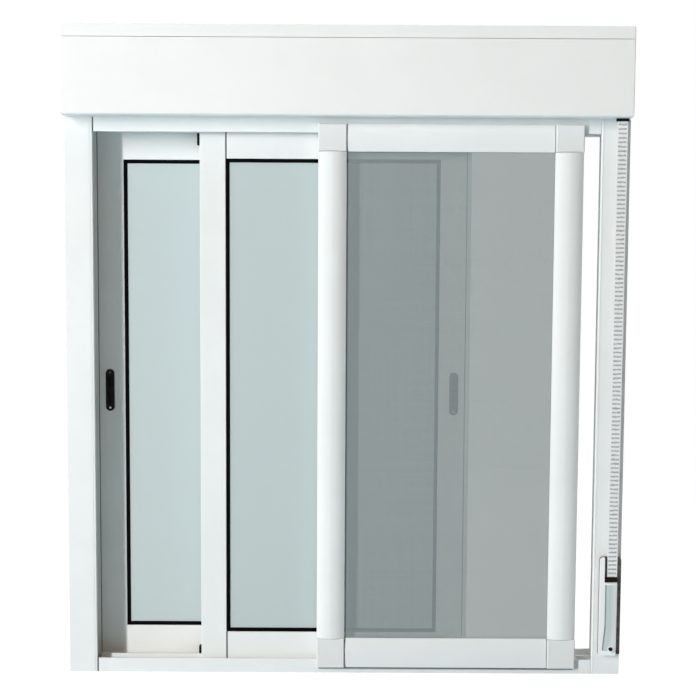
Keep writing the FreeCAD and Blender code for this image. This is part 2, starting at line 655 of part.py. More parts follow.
def screen():
    """Screen pieces: crowned stiles, rails, corner pieces that plug into both, the mesh and its glides."""
    right = SCREEN_LEFT + SCREEN_WIDTH
    inner_left = SCREEN_LEFT + SCREEN_STILE
    inner_right = right - SCREEN_STILE
    inner_bottom = SCREEN_BOTTOM + SCREEN_BOTTOM_RAIL
    inner_top = SCREEN_TOP - SCREEN_TOP_RAIL
    left_bar = screen_stile_bar(SCREEN_LEFT)
    right_bar = screen_stile_bar(inner_right)
    bottom_chamber = screen_rail_chamber(BOTTOM_GROOVE_FLOOR, inner_bottom)
    top_chamber = screen_rail_chamber(TOP_GROOVE_FLOOR, inner_top)
    middle_y = (SCREEN_FRONT + SCREEN_BACK) / 2
    half_pocket = MESH_THICK / 2 + MESH_FIT
    pocket = block(inner_left - MESH_POCKET, inner_right + MESH_POCKET, middle_y - half_pocket,
                   middle_y + half_pocket, inner_bottom - MESH_POCKET, inner_top + MESH_POCKET)
    upright = block(SCREEN_LEFT, right, SCREEN_FRONT, SCREEN_BACK,
                    inner_bottom + SCREEN_STILE_GAP, inner_top - SCREEN_STILE_GAP)
    across = block(inner_left + SCREEN_RAIL_GAP, inner_right - SCREEN_RAIL_GAP,
                   SCREEN_FRONT, SCREEN_BACK, SCREEN_BOTTOM, SCREEN_TOP)
    bottom = screen_rail_bar(SCREEN_BOTTOM, inner_bottom).common(across)
    top = screen_rail_bar(inner_top, SCREEN_TOP).common(across)
    for room in lip_rooms():
        bottom = bottom.cut(room)
        top = top.cut(room)
    corners = [
        screen_corner(SCREEN_LEFT, inner_left, SCREEN_BOTTOM, inner_bottom, bottom_chamber),
        screen_corner(SCREEN_LEFT, inner_left, SCREEN_TOP, inner_top, top_chamber),
        screen_corner(right, inner_right, SCREEN_BOTTOM, inner_bottom, bottom_chamber),
        screen_corner(right, inner_right, SCREEN_TOP, inner_top, top_chamber)]
    mesh = block(inner_left - MESH_HOLD, inner_right + MESH_HOLD, middle_y - MESH_THICK / 2,
                 middle_y + MESH_THICK / 2, inner_bottom - MESH_HOLD, inner_top + MESH_HOLD)
    half_groove = SCREEN_GROOVE / 2
    inset = (SCREEN_STILE - GLIDE_LENGTH) / 2
    glides = [block(x, x + GLIDE_LENGTH, LIP_Y - half_groove, LIP_Y + half_groove,
                    SILL_LIP_TOP + RUNNING_CLEARANCE, BOTTOM_GROOVE_FLOOR)
              for x in (SCREEN_LEFT + inset, right - inset - GLIDE_LENGTH)]
    return {
        "left_stile": [left_bar.common(upright).cut(pocket).cut(screen_stile_chamber(SCREEN_LEFT))],
        "right_stile": [right_bar.common(upright).cut(pocket).cut(screen_stile_chamber(inner_right))],
        "bottom_rail": [bottom.cut(pocket).cut(run_along(bottom_chamber, SCREEN_LEFT, right))],
        "top_rail": [top.cut(pocket).cut(run_along(top_chamber, SCREEN_LEFT, right))],
        "corners": [corner.cut(pocket) for corner in corners], "mesh": [mesh], "glides": glides}


def shutter_guide():
    """Left shutter guide: a channel behind the jamb, open towards the curtain."""
    mouth = -HALF_WIDTH + GUIDE_WIDTH
    rear = BACK_Y + GUIDE_DEPTH
    half = GUIDE_SLOT / 2
    face = rectangle(-HALF_WIDTH, BACK_Y, mouth, rear, in_plan, EDGE_ROUND)
    slot = rectangle(mouth - GUIDE_SLOT_DEPTH, GUIDE_MIDDLE - half, mouth, GUIDE_MIDDLE + half, in_plan)
    chamber = rectangle(-HALF_WIDTH + GUIDE_WALL, BACK_Y + GUIDE_WALL,
                        mouth - GUIDE_SLOT_DEPTH - GUIDE_WALL, rear - GUIDE_WALL, in_plan)
    return run_up(face.cut(slot).cut(chamber), 0, FRAME_HEIGHT)


def bottom_slat():
    """Lowest slat of the shutter, drawn up into the mouth of the box."""
    half_length = HALF_WIDTH - GUIDE_WIDTH + GUIDE_SLOT_DEPTH - SLAT_END_GAP
    half = SLAT_THICK / 2
    low = FRAME_HEIGHT - SLAT_DROP
    section = rectangle(GUIDE_MIDDLE - half, low, GUIDE_MIDDLE + half, low + SLAT_HEIGHT, in_side, EDGE_ROUND)
    middle = low + SLAT_HEIGHT / 2
    for y in (GUIDE_MIDDLE - half, GUIDE_MIDDLE + half):
        section = section.cut(rectangle(y - SLAT_GROOVE / 2, middle - SLAT_GROOVE,
                                        y + SLAT_GROOVE / 2, middle + SLAT_GROOVE, in_side))
    return run_along(section, -half_length, half_length)


def box_end():
    """Left end cap of the shutter box: a plate with a round lower front corner and a rounded rim."""
    face = outline([
        (BOX_FRONT_Y, FRAME_HEIGHT, BOX_END_ROUND), (BOX_BACK_Y, FRAME_HEIGHT, BOX_END_CORNER),
        (BOX_BACK_Y, BOX_TOP, BOX_END_CORNER), (BOX_FRONT_Y, BOX_TOP, BOX_END_CORNER)], in_side)
    plate = run_along(face, -BOX_HALF, -BOX_INNER_HALF)
    rim = [edge for edge in plate.Edges if edge.BoundBox.XMax < -BOX_HALF + TOUCH]
    return plate.makeChamfer(BOX_END_EDGE, rim)


def box_top_cover():
    """Top of the box, turned down as a band at the front and a short flange at the back."""
    back = BOX_BACK_Y - BOX_SHEET
    section = outline([
        (BOX_FRONT_Y, BOX_TOP - BOX_BAND, 0), (BOX_FRONT_Y, BOX_TOP, EDGE_ROUND),
        (BOX_BACK_Y, BOX_TOP, EDGE_ROUND), (BOX_BACK_Y, BOX_TOP - BOX_REAR_FLANGE, 0),
        (back, BOX_TOP - BOX_REAR_FLANGE, 0),
        (back, BOX_TOP - BOX_SHEET, 0), (BOX_FRONT_Y + BOX_SHEET, BOX_TOP - BOX_SHEET, 0),
        (BOX_FRONT_Y + BOX_SHEET, BOX_TOP - BOX_BAND, 0)], in_side)
    return run_along(section, -BOX_INNER_HALF, BOX_INNER_HALF)


def box_front_cover():
    """Access cover: the front of the box, turned in under it with a round edge."""
    inner = BOX_FRONT_Y + BOX_SHEET
    floor = FRAME_HEIGHT + BOX_SHEET
    top = BOX_TOP - BOX_BAND - BOX_COVER_GAP
    back = BOX_FRONT_Y + BOX_COVER_RETURN
    section = outline([
        (BOX_FRONT_Y, top, 0), (inner, top, 0), (inner, floor, BOX_COVER_ROUND - BOX_SHEET), (back, floor, 0),
        (back, FRAME_HEIGHT, 0), (BOX_FRONT_Y, FRAME_HEIGHT, BOX_COVER_ROUND)], in_side)
    return run_along(section, -BOX_INNER_HALF, BOX_INNER_HALF)


def box_back_panel():
    """Rear wall of the box, from its floor to the flange of the top cover."""
    return block(-BOX_INNER_HALF, BOX_INNER_HALF, BOX_BACK_Y - BOX_SHEET, BOX_BACK_Y,
                 FRAME_HEIGHT, BOX_TOP - BOX_REAR_FLANGE)


def strap_middle(z):
    """Y of the strap's middle at a height, on its straight run from the box to the winder."""
    share = (z - WINDER_TOP) / (FRAME_HEIGHT - WINDER_TOP)
    proud = STRAP_BOTTOM_PROUD + share * (STRAP_TOP_PROUD - STRAP_BOTTOM_PROUD)
    return FRONT_Y - proud


def strap_hole(z0, z1):
    """Room round the strap between two heights."""
    middle = strap_middle((z0 + z1) / 2)
    half_width = STRAP_WIDTH / 2 + STRAP_CLEARANCE
    half_thick = STRAP_THICK / 2 + STRAP_CLEARANCE
    return block(STRAP_X - half_width, STRAP_X + half_width, middle - half_thick, middle + half_thick, z0, z1)


def box_soffit():
    """Floor of the box on the frame's head, with a mouth for the curtain and a hole for the strap."""
    top = FRAME_HEIGHT + BOX_SHEET
    plate = block(-BOX_INNER_HALF, BOX_INNER_HALF, BOX_FRONT_Y + BOX_COVER_RETURN,
                  BOX_BACK_Y - BOX_SHEET, FRAME_HEIGHT, top)
    half_mouth = HALF_WIDTH - GUIDE_WIDTH + GUIDE_SLOT_DEPTH
    mouth = block(-half_mouth, half_mouth, GUIDE_MIDDLE - CURTAIN_SLOT / 2,
                  GUIDE_MIDDLE + CURTAIN_SLOT / 2, FRAME_HEIGHT, top)
    return plate.cut(mouth).cut(strap_hole(FRAME_HEIGHT, top))


def strap_guide():
    """Bezel under the box where the strap comes out."""
    low = FRAME_HEIGHT - STRAP_GUIDE_HEIGHT
    middle = strap_middle(FRAME_HEIGHT)
    half_width = STRAP_WIDTH / 2 + STRAP_GUIDE_BORDER
    half_depth = STRAP_THICK / 2 + STRAP_GUIDE_BORDER
    body = block(STRAP_X - half_width, STRAP_X + half_width, middle - half_depth, middle + half_depth,
                 low, FRAME_HEIGHT)
    return body.cut(strap_hole(low, FRAME_HEIGHT))


def strap():
    """Woven strap, drawn straight from inside the box into the winder's throat."""
    top = FRAME_HEIGHT + STRAP_INTO_BOX
    low = WINDER_TOP - WINDER_THROAT
    half = STRAP_THICK / 2
    section = outline([
        (strap_middle(low) - half, low, 0), (strap_middle(low) + half, low, 0),
        (strap_middle(top) + half, top, 0), (strap_middle(top) - half, top, 0)], in_side)
    return run_along(section, STRAP_X - STRAP_WIDTH / 2, STRAP_X + STRAP_WIDTH / 2)


def winder_plate():
    """Dark steel body of the strap winder on the jamb's face."""
    face = outline([
        (WINDER_LEFT, WINDER_BOTTOM, 0), (WINDER_RIGHT, WINDER_BOTTOM, 0),
        (WINDER_RIGHT, WINDER_TOP, WINDER_ROUND), (WINDER_LEFT, WINDER_TOP, WINDER_ROUND)], in_front)
    return run_in(face, WINDER_COVER_BACK, FRONT_Y)


def winder_lid():
    """Lid below the throat: crowned across, its left edge flares out at the foot, with a screw boss."""
    right = WINDER_LEFT + WINDER_COVER_WIDTH
    top = WINDER_TOP - WINDER_THROAT - 2 * WINDER_ROLLER_RADIUS - WINDER_LID_GAP
    left = right - WINDER_LID_WIDTH
    low = WINDER_BOTTOM + WINDER_LID_MARGIN
    front = WINDER_COVER_FRONT - WINDER_LID_BASE - WINDER_LID_CROWN
    shape = crowned(left - WINDER_LID_FLARE, right, front, WINDER_LID_CROWN, WINDER_COVER_FRONT)
    bar = run_up(crowned_face(shape, in_plan), low, top)
    face = outline([
        (left - WINDER_LID_FLARE, low, EDGE_ROUND), (right, low, EDGE_ROUND), (right, top, EDGE_ROUND),
        (left, top, EDGE_ROUND), (left, low + WINDER_LID_FLARE_HEIGHT, WINDER_LID_FLARE_HEIGHT)], in_front)
    lid = bar.common(run_in(face, front, WINDER_COVER_FRONT))
    height = WINDER_COVER_FRONT - front + WINDER_BOSS_PROUD
    place = V((left + right) / 2, WINDER_COVER_FRONT, low + WINDER_BOSS_RISE)
    return joined([lid, Part.makeCylinder(WINDER_BOSS_RADIUS, height, place, V(0, -1, 0))])


def winder_cover():
    """White cover: a border at the left, a throat for the strap at the top and a flat seat for the lid."""
    right = WINDER_LEFT + WINDER_COVER_WIDTH
    throat_low = WINDER_TOP - WINDER_THROAT - 2 * WINDER_ROLLER_RADIUS
    face = outline([
        (WINDER_LEFT, WINDER_BOTTOM, EDGE_ROUND), (right, WINDER_BOTTOM, EDGE_ROUND),
        (right, WINDER_TOP, 0), (WINDER_LEFT, WINDER_TOP, WINDER_ROUND)], in_front)
    body = run_in(face, WINDER_COVER_FRONT, WINDER_COVER_BACK)
    throat = block(WINDER_THROAT_LEFT, right, WINDER_COVER_FRONT, WINDER_COVER_BACK, throat_low, WINDER_TOP)
    return body.cut(throat)


def winder_roller():
    """Black bar that the strap runs in over."""
    length = WINDER_LEFT + WINDER_COVER_WIDTH - WINDER_THROAT_LEFT
    z = WINDER_TOP - WINDER_THROAT - WINDER_ROLLER_RADIUS
    y = WINDER_COVER_BACK - WINDER_ROLLER_RADIUS
    return Part.makeCylinder(WINDER_ROLLER_RADIUS, length, V(WINDER_THROAT_LEFT, y, z), V(1, 0, 0))


def build():
    """Write every piece of the window."""
    os.makedirs("parts", exist_ok=True)
    left_jamb = jamb()
    left_guide = shutter_guide()
    left_end = box_end()
    fixed = {
        "frame_left_jamb": left_jamb, "frame_right_jamb": mirrored(left_jamb),
        "frame_head": head(), "frame_sill": sill(),
        "shutter_guide_left": left_guide, "shutter_guide_right": mirrored(left_guide),
        "shutter_bottom_slat": bottom_slat(), "box_top_cover": box_top_cover(),
        "box_front_cover": box_front_cover(), "box_back_panel": box_back_panel(),
        "box_soffit": box_soffit(), "box_left_end": left_end, "box_right_end": mirrored(left_end),
        "strap": strap(), "strap_guide": strap_guide(), "winder_plate": winder_plate(),
        "winder_cover": winder_cover(), "winder_lid": winder_lid(), "winder_roller": winder_roller()}
    for node, solid in fixed.items():
        save(node, [solid])
    for node, solids in sash(-1).items():
        save("rear_sash_" + node, [moved(solid, REAR_SASH_LEFT, REAR_SASH_Y) for solid in solids])
    for node, solids in sash(1).items():
        hand = [mirrored(solid) for solid in solids]
        save("front_sash_" + node, [moved(solid, FRONT_SASH_RIGHT, FRONT_SASH_Y) for solid in hand])
    for node, solids in screen().items():
        save("screen_" + node, solids)


build()
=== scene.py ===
import json
import math

import bmesh
import bpy
from mathutils import Matrix, Vector


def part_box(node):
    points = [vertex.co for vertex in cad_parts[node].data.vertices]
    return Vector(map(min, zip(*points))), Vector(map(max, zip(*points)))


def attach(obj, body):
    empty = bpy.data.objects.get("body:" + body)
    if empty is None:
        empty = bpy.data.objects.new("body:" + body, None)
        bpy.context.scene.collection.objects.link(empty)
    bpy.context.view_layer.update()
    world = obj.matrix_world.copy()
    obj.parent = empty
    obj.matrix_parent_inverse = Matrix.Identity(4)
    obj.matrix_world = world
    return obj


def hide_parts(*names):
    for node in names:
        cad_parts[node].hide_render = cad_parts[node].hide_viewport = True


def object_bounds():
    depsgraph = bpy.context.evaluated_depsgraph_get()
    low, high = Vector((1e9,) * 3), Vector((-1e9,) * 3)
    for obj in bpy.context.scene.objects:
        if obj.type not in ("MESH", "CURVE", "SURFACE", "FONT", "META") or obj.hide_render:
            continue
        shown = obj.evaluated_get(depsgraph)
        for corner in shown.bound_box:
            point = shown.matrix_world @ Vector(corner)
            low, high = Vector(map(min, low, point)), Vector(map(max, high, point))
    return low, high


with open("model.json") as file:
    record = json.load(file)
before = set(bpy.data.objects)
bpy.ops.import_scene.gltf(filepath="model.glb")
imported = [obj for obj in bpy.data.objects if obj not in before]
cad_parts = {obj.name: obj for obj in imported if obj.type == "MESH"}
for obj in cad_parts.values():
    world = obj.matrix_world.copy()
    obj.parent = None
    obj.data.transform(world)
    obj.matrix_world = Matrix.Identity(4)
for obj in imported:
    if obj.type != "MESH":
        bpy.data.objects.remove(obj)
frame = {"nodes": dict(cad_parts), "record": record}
nodes = frame["nodes"]
cad_low, cad_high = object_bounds()


def rgb(red, green, blue):
    return (red, green, blue, 1.0)


# Sizes that the solids have, in metres

MM = 0.001
MEETING_JOINT = 2.0 * MM
TRACK_JOINT = 1.5 * MM
TRACK_LIP = 2.0 * MM
STILE_LIP = 7.0 * MM
STILE_RECESS = 1.2 * MM
LID_FLARE = 4.0 * MM
LID_FLARE_HEIGHT = 45.0 * MM
BOSS_RADIUS = 6.0 * MM
BOSS_FROM_EDGE = 10.5 * MM

# Sizes of the pieces that are added here, in metres

MESH_PITCH = 1.1 * MM
MESH_FILL = 0.594
MESH_LAYER = 0.12 * MM
LATCH_SCREW_RISE = 6.0 * MM
LATCH_SCREW_RADIUS = 2.0 * MM
WINDER_SCREW_RADIUS = 3.7 * MM
SCREW_STEPS = 24
SCREW_RINGS = ((1.0, 0.0), (1.0, 0.25), (0.86, 0.5), (0.55, 0.66))
SQUARE = ((-1, -1), (1, -1), (1, 1), (-1, 1))
BEVEL_SEGMENTS = 2
LEFT = -1
RIGHT = 1
PAD_FIT = 0.1 * MM
PAD_BACK = 0.4 * MM
PAD_DEPTH = 2.3 * MM
# Width and setback of the dark strip that paints the shadow in the lock stile's step
LIP_SHADE_STRIP = 1.4 * MM
LIP_SHADE_STRIP_BACK = 0.2 * MM
PLUG_LOW_INSET = 1.0 * MM
PLUG_TOP_INSET = 7.0 * MM
PLUG_HEIGHT = 21.0 * MM
PLUG_PROUD = 6.5 * MM
PLUG_GRIP = 8.0 * MM
PLUG_WIDTH = 8.0 * MM
PLUG_DEPTH = 6.0 * MM
PLUG_BEVEL = 0.4 * MM
PILE_SETBACK = 2.2 * MM
PILE_END = 3.0 * MM
PILE_DEPTH = 1.6 * MM
PILE_GRIP = 0.5 * MM
PILE_BEVEL = 0.2 * MM
PILE_LENGTH = 3.2 * MM
PILE_UNEVEN = 0.15
PILE_UNEVEN_WAVE = 1.7
PILE_PITCH = 1.2 * MM
PILE_LEAN = 0.3 * PILE_PITCH
PILE_LEAN_WAVE = 2.3
PILE_ROOT_SHARE = 1 / 2
PILE_TIP_SHARE = 1 / 3

# Surfaces: lengths in metres, peel in waves a metre, the rest as shares of 1

NOISE_RANGE = (0.3, 0.7)
NOISE_CORE = (0.35, 0.65)
SPECK_RANGE = (0.60, 0.75)
SPECK_SHARE = 0.35
POWDER_PEEL = 700.0
MOULDED_PEEL = 420.0
PEEL_DEPTH = 0.03 * MM
RUBBER_GRAIN = 0.05 * MM
PILE_GRAIN = 0.1 * MM
PLASTIC_GRAIN = 0.04 * MM
STEEL_GRAIN = 0.1 * MM
METAL_LINES = 0.02 * MM
GLASS_VEIL = 0.88
YARN_DARK = rgb(0.255, 0.288, 0.29)
YARN_LIGHT = rgb(0.29, 0.323, 0.326)
STRAP_WHITE = rgb(0.96, 0.96, 0.96)
STRAP_GREY = rgb(0.35, 0.36, 0.365)
STRAP_BAR_PITCH = 7.7 * MM
STRAP_BAR_EDGE = (0.14, 0.24)
STRAP_BAR_WANDER = 0.7 * MM
STRAP_MARGIN = (6.8 * MM, 7.8 * MM)
STRAP_WEFT = 1.6 * MM
STRAP_WARP = 1.2 * MM
STRAP_RELIEF = 0.15 * MM
# Lid tones: the grey-green to lilac fade is painted shade across the crown, and the dark tone is a painted
# shadow along the left rim
LID_SHADED_GREEN = rgb(0.49, 0.59, 0.58)
LID_LIT_LILAC = rgb(0.86, 0.84, 0.87)
LID_SHADOW_TONE = rgb(0.15, 0.18, 0.18)
LID_WHITE = rgb(0.92, 0.92, 0.92)
LID_SHADE_FADE = (8.0 * MM, 17.0 * MM)
LID_RIM_SHADE = (0.4 * MM, 2.4 * MM)
LID_TOP_EDGE = 3.0 * MM
LID_STREAK = 0.12
BOSS_BLUR = 0.2 * MM

# Stage in metres, and camera with its angles in degrees and its lens in millimetres

FLOOR_HALF = 6.0
FLOOR_GAP = 0.5 * MM
FLOOR_LIGHT = rgb(0.57, 0.79, 0.93)
FLOOR_DARK = rgb(0.55, 0.77, 0.91)
FLOOR_GLOW = 0.90
FLOOR_FADE = (0.9, 2.2)
FLOOR_SHADE = 0.25
WORLD_LIGHT = 0.18
WORLD_LEFT = rgb(0.5, 0.44, 0.27)
WORLD_RIGHT = rgb(1.0, 0.62, 0.30)
WORLD_TURN = 0.6
CAMERA_PLACE = (0.002, -2.242, 0.764)
CAMERA_YAW = 0.04
CAMERA_PITCH = -4.43
CAMERA_ROLL = 0.31
CAMERA_LENS = 63.9
CAMERA_SENSOR = 36.0


# Materials

class Shader:
    """A material's node tree with its Principled shader, and short ways to add nodes to it."""

    def __init__(self, name):
        self.material = bpy.data.materials.new(name)
        self.material.use_nodes = True
        self.tree = self.material.node_tree
        self.principled = self.tree.nodes["Principled BSDF"]
        self.output = self.tree.nodes["Material Output"]
        self.coords = self.tree.nodes.new("ShaderNodeTexCoord").outputs["Object"]

    def add(self, kind, **settings):
        node = self.tree.nodes.new(kind)
        for key, value in settings.items():
            setattr(node, key, value)
        return node

    def feed(self, socket, value):
        """A node output is linked, and a number or colour is set."""
        if isinstance(value, bpy.types.NodeSocket):
            self.tree.links.new(value, socket)
        else:
            socket.default_value = value

    def stretched(self, scale):
        """Object coordinates in metres, scaled by axis."""
        node = self.add("ShaderNodeMapping")
        self.feed(node.inputs["Vector"], self.coords)
        node.inputs["Scale"].default_value = scale
        return node.outputs["Vector"]

    def noise(self, scale, detail=2.0, rough=0.5, vector=None):
        node = self.add("ShaderNodeTexNoise")
        self.feed(node.inputs["Vector"], vector or self.coords)
        node.inputs["Scale"].default_value = scale
        node.inputs["Detail"].default_value = detail
        node.inputs["Roughness"].default_value = rough
        return node.outputs["Fac"]

    def streaks(self, scale, detail=2.0, rough=0.5):
        """Noise with a scale for each axis."""
        return self.noise(1.0, detail, rough, self.stretched(scale))

    def axis(self, name):
        node = self.add("ShaderNodeSeparateXYZ")
        self.feed(node.inputs["Vector"], self.coords)
        return node.outputs[name]

    def distance(self, point):
        """Distance from a point in object coordinates."""
        node = self.add("ShaderNodeVectorMath", operation="DISTANCE")
        self.feed(node.inputs[0], self.coords)
        node.inputs[1].default_value = point
        return node.outputs["Value"]

    def math(self, operation, a, b=0.0):
        node = self.add("ShaderNodeMath", operation=operation)
        self.feed(node.inputs[0], a)
        self.feed(node.inputs[1], b)
        return node.outputs["Value"]

    def spread(self, value, low, high, out_low, out_high):
        """Maps low..high to out_low..out_high, clamped."""
        node = self.add("ShaderNodeMapRange")
        self.feed(node.inputs["Value"], value)
        node.inputs["From Min"].default_value = low
        node.inputs["From Max"].default_value = high
        node.inputs["To Min"].default_value = out_low
        node.inputs["To Max"].default_value = out_high
        return node.outputs["Result"]

    def vary(self, noise, low, high):
        """Maps the usual range of a noise to low..high."""
        return self.spread(noise, *NOISE_RANGE, low, high)

    def mix(self, factor, a, b):
        node = self.add("ShaderNodeMix", data_type="RGBA")
        self.feed(node.inputs["Factor"], factor)
        self.feed(node.inputs["A"], a)
        self.feed(node.inputs["B"], b)
        return node.outputs["Result"]

    def bump(self, height, distance):
        node = self.add("ShaderNodeBump")
        self.feed(node.inputs["Height"], height)
        node.inputs["Distance"].default_value = distance
        self.feed(self.principled.inputs["Normal"], node.outputs["Normal"])

    def set(self, **inputs):
        for name, value in inputs.items():
            self.feed(self.principled.inputs[name.replace("_", " ")], value)

    def blend(self, factor, first, second):
        """Mixes two shaders and makes them the surface."""
        node = self.add("ShaderNodeMixShader")
        self.feed(node.inputs["Fac"], factor)
        self.feed(node.inputs[1], first)
        self.feed(node.inputs[2], second)
        self.feed(self.output.inputs["Surface"], node.outputs["Shader"])


def coated(name, light, dark, rough, peel):
    """Powder coat or moulded skin: faint cloudy tone, orange peel and uneven gloss."""
    s = Shader(name)
    cloud = s.noise(5.0, detail=4.0, rough=0.6)
    speck = s.spread(s.noise(260.0), *SPECK_RANGE, 0.0, SPECK_SHARE)
    tone = s.mix(s.spread(cloud, *NOISE_CORE, 0.0, 1.0), light, dark)
    s.set(Base_Color=s.mix(speck, tone, dark))
    s.set(Roughness=s.vary(s.noise(30.0, detail=3.0), *rough))
    s.bump(s.noise(peel), PEEL_DEPTH)
    return s.material


def glass_material():
    """Tinted sealed unit: a pale grey-green veil that lets part of the light through."""
    s = Shader("window_glass")
    tint = s.mix(s.noise(1.6), rgb(0.57, 0.65, 0.655), rgb(0.59, 0.67, 0.675))
    s.set(Base_Color=tint, IOR=1.5)
    s.set(Roughness=s.vary(s.noise(4.0, detail=3.0), 0.05, 0.09))
    clear = s.add("ShaderNodeBsdfTransparent")
    s.feed(clear.inputs["Color"], rgb(0.93, 0.97, 0.97))
    facing_away = s.add("ShaderNodeNewGeometry").outputs["Backfacing"]
    veil = s.spread(facing_away, 0.0, 1.0, GLASS_VEIL, 0.0)
    s.blend(veil, clear.outputs["BSDF"], s.principled.outputs["BSDF"])
    return s.material


def rubber_material():
    s = Shader("gasket_rubber")
    tone = s.mix(s.noise(60.0, detail=3.0), rgb(0.001, 0.001, 0.001), rgb(0.005, 0.005, 0.005))
    s.set(Base_Color=tone, Specular_IOR_Level=0.03)
    s.set(Roughness=s.vary(s.noise(150.0), 0.6, 0.8))
    s.bump(s.noise(900.0), RUBBER_GRAIN)
    return s.material


def pile_material():
    """Grey brush fibre, darker and lighter from tuft to tuft."""
    s = Shader("brush_pile")
    tufts = s.streaks((500.0, 200.0, 40.0), rough=0.6)
    tone = s.mix(tufts, rgb(0.10, 0.105, 0.105), rgb(0.22, 0.225, 0.225))
    s.set(Base_Color=tone, Specular_IOR_Level=0.1)
    s.set(Roughness=s.vary(tufts, 0.8, 0.95))
    s.bump(s.noise(1500.0), PILE_GRAIN)
    return s.material


def black_plastic_material():
    s = Shader("black_moulding")
    tone = s.mix(s.noise(90.0, detail=3.0), rgb(0.002, 0.002, 0.002), rgb(0.010, 0.009, 0.008))
    s.set(Base_Color=tone, Specular_IOR_Level=0.1)
    s.set(Roughness=s.vary(s.noise(200.0), 0.38, 0.55))
    s.bump(s.noise(1600.0), PLASTIC_GRAIN)
    return s.material


def dark_steel_material():
    """Dull blackened steel with lighter scuffs."""
    s = Shader("winder_steel")
    scuff = s.spread(s.noise(70.0, detail=5.0, rough=0.65), 0.42, 0.62, 0.0, 1.0)
    tone = s.mix(scuff, rgb(0.025, 0.026, 0.025), rgb(0.11, 0.11, 0.105))
    s.set(Base_Color=tone, Metallic=0.4)
    s.set(Roughness=s.spread(scuff, 0.0, 1.0, 0.42, 0.62))
    s.bump(s.noise(300.0, detail=3.0), STEEL_GRAIN)
    return s.material


def bare_metal_material():
    """Mill-finish aluminium with fine drawing lines."""
    s = Shader("mill_aluminium")
    lines = s.streaks((900.0, 900.0, 12.0), detail=3.0, rough=0.6)
    s.set(Base_Color=s.mix(lines, rgb(0.52, 0.53, 0.54), rgb(0.66, 0.67, 0.68)), Metallic=1.0)
    s.set(Roughness=s.vary(lines, 0.28, 0.42))
    s.bump(lines, METAL_LINES)
    return s.material


def nylon_material():
    s = Shader("wheel_nylon")
    s.set(Base_Color=s.mix(s.noise(50.0, detail=3.0), rgb(0.52, 0.52, 0.48), rgb(0.64, 0.64, 0.60)))
    s.set(Roughness=s.vary(s.noise(120.0), 0.4, 0.5))
    s.bump(s.noise(1200.0), PLASTIC_GRAIN)
    return s.material


def mesh_material():
    """Coated glass-fibre yarn, its tone changing a little from thread to thread."""
    s = Shader("screen_yarn")
    uprights = s.streaks((420.0, 1.0, 3.0))
    levels = s.streaks((3.0, 1.0, 420.0))
    tone = s.math("MULTIPLY", s.math("ADD", uprights, levels), 0.5)
    s.set(Base_Color=s.mix(s.spread(tone, *NOISE_CORE, 0.0, 1.0), YARN_DARK, YARN_LIGHT))
    s.set(Roughness=s.vary(tone, 0.6, 0.75))
    return s.material


def strap_material():
    """White webbing with a ladder of grey bars, white edges and a plain weave."""
    s = Shader("strap_weave")
    low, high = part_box("strap")
    across = s.math("SUBTRACT", s.axis("X"), (low.x + high.x) / 2)
    along = s.axis("Z")
    wander = s.vary(s.noise(160.0), -STRAP_BAR_WANDER, STRAP_BAR_WANDER)
    row = s.math("FRACT", s.math("DIVIDE", s.math("ADD", along, wander), STRAP_BAR_PITCH))
    from_middle = s.math("ABSOLUTE", s.math("SUBTRACT", row, 0.5))
    bar = s.spread(from_middle, *STRAP_BAR_EDGE, 1.0, 0.0)
    inside = s.spread(s.math("ABSOLUTE", across), *STRAP_MARGIN, 1.0, 0.0)
    yarns = s.spread(s.streaks((700.0, 1.0, 120.0)), *NOISE_CORE, 0.55, 1.0)
    shade = s.math("MULTIPLY", s.math("MULTIPLY", bar, inside), yarns)
    s.set(Base_Color=s.mix(shade, STRAP_WHITE, STRAP_GREY), Roughness=0.85)
    weft = s.math("SINE", s.math("MULTIPLY", along, 2 * math.pi / STRAP_WEFT))
    warp = s.math("SINE", s.math("MULTIPLY", across, 2 * math.pi / STRAP_WARP))
    s.bump(s.math("MULTIPLY", weft, warp), STRAP_RELIEF)
    return s.material


def boss_middle():
    """Middle of the front face of the boss at the foot of the winder's lid."""
    low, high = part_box("winder_lid")
    return Vector((high.x - BOSS_FROM_EDGE, low.y, low.z + BOSS_RADIUS))


def lid_material():
    """Satin lid with painted shade: a painted shadow along the left rim, painted shade of grey-green that
    fades to pale lilac on the lit right, white top edge and screw boss.
    """
    s = Shader("satin_lid")
    low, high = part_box("winder_lid")
    left_edge = s.spread(s.axis("Z"), low.z, low.z + LID_FLARE_HEIGHT, low.x, low.x + LID_FLARE)
    inward = s.math("SUBTRACT", s.axis("X"), left_edge)
    grain = s.vary(s.streaks((900.0, 900.0, 20.0), detail=3.0, rough=0.6), -LID_STREAK, LID_STREAK)
    # Painted shade across the crown: grey-green on the left fading to pale lilac on the lit right
    across = s.math("ADD", s.spread(inward, *LID_SHADE_FADE, 0.0, 1.0), grain)
    # Painted shadow along the left rim, where the cover's border shades the lid
    in_rim_shadow = s.spread(inward, *LID_RIM_SHADE, 1.0, 0.0)
    shaded_satin = s.mix(in_rim_shadow, s.mix(across, LID_SHADED_GREEN, LID_LIT_LILAC), LID_SHADOW_TONE)
    from_boss = s.distance(boss_middle())
    on_boss = s.spread(from_boss, BOSS_RADIUS - BOSS_BLUR, BOSS_RADIUS + BOSS_BLUR, 1.0, 0.0)
    on_top = s.spread(s.axis("Z"), high.z - LID_TOP_EDGE, high.z - LID_TOP_EDGE / 2, 0.0, 1.0)
    s.set(Base_Color=s.mix(s.math("MAXIMUM", on_boss, on_top), shaded_satin, LID_WHITE), Metallic=0.15)
    s.set(Roughness=s.spread(grain, -LID_STREAK, LID_STREAK, 0.3, 0.42))
    s.bump(grain, METAL_LINES)
    return s.material


